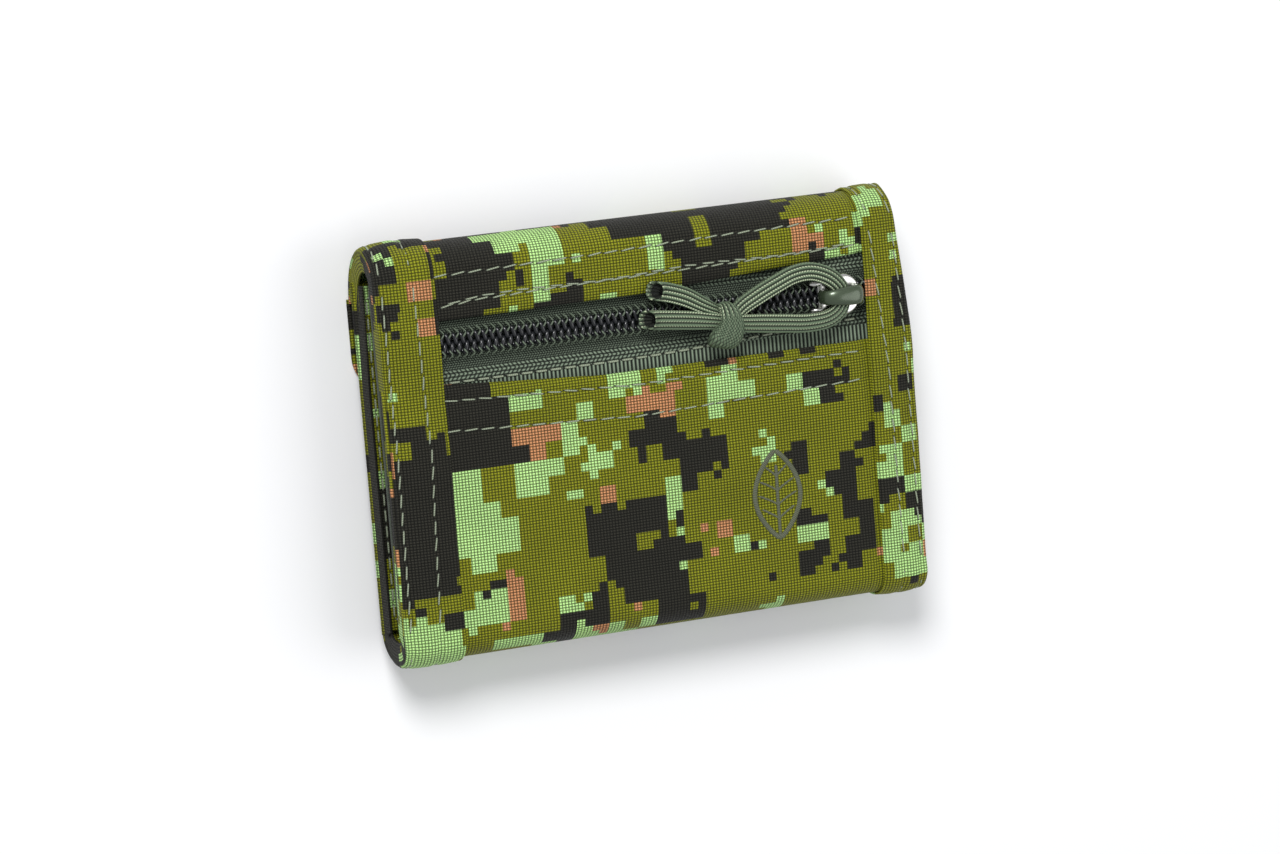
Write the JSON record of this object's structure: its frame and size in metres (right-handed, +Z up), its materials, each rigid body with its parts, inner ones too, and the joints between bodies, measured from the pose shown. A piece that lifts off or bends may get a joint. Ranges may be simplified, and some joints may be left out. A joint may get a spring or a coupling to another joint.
{
  "type": "trifold wallet",
  "caption": "Closed trifold fabric wallet with a zipped coin pocket, side bands, a corded zip slider and a hook-and-loop closing flap.",
  "frame": {"origin": "middle of the footprint, on the surface that the closed wallet lies on", "axes": "+X along the width, towards the end where the zip slider stops closed; +Y towards the top fold; +Z up, out of the zipped front panel"},
  "size_m": [0.1276, 0.0954, 0.0278],
  "materials": {
    "camo": "coated plain-weave nylon printed with square-edged camouflage patches",
    "lining": "thin matte nylon lining",
    "tape": "herringbone woven zip tape",
    "coil": "glossy black nylon coil",
    "thread": "grey-green embroidery thread",
    "cord": "braided nylon sheath",
    "nickel": "bright nickel plate",
    "enamel": "green-grey enamel over die-cast metal",
    "hook": "hook-and-loop tape",
    "film": "clear flexible film"
  },
  "bodies": {
    "front_panel": {"front_lower_panel": "camo", "front_upper_band": "camo", "zip_tape_upper": "tape", "zip_tape_lower": "tape", "zip_coil_upper": "coil", "zip_coil_lower": "coil", "zip_stop_left": "nickel", "zip_stop_right": "nickel", "coin_pocket_lining": "lining", "front_lining": "lining", "card_pocket_1": "camo", "card_pocket_2": "camo", "card_pocket_3": "camo", "emblem": "thread", "band_front_left": "camo", "band_front_right": "camo", "top_fold": "camo", "bottom_fold": "camo", "band_top_left": "camo", "band_top_right": "camo", "band_bottom_left": "camo", "band_bottom_right": "camo"},
    "back_panel": {"back_shell": "camo", "band_back_left": "camo", "band_back_right": "camo", "loop_patch": "hook", "note_divider": "lining", "back_lining": "lining", "id_pocket": "camo", "id_window": "film"},
    "closing_flap": {"flap_shell": "camo", "flap_lining": "camo", "hook_strip": "hook", "band_flap_left": "camo", "band_flap_right": "camo", "flap_end_band": "camo"},
    "slider": {"slider_top_plate": "nickel", "slider_bottom_plate": "nickel", "slider_post": "nickel", "slider_bridge": "enamel"},
    "pull": {"pull_loop": "cord", "pull_knot": "cord", "pull_tail_upper": "cord", "pull_tail_lower": "cord"}
  },
  "joints": [
    {"name": "flap_fold", "type": "hinge", "parent": "front_panel", "child": "closing_flap", "pos_m": [0, 0.05, 0.011], "axis": [1, 0, 0], "range_deg": [0, 175], "deforming": ["top_fold", "band_top_left", "band_top_right"]},
    {"name": "back_fold", "type": "hinge", "parent": "front_panel", "child": "back_panel", "pos_m": [0, -0.05, 0.0126], "axis": [-1, 0, 0], "range_deg": [0, 175], "deforming": ["bottom_fold", "band_bottom_left", "band_bottom_right"]},
    {"name": "zip_slide", "type": "slide", "parent": "front_panel", "child": "slider", "axis": [-1, 0, 0], "range_m": [0, 0.087]},
    {"name": "pull_swing", "type": "hinge", "parent": "slider", "child": "pull", "pos_m": [0.0464, 0.0244, 0.0246], "axis": [0, 1, 0], "range_deg": [0, 150], "deforming": ["pull_loop"]}
  ]
}
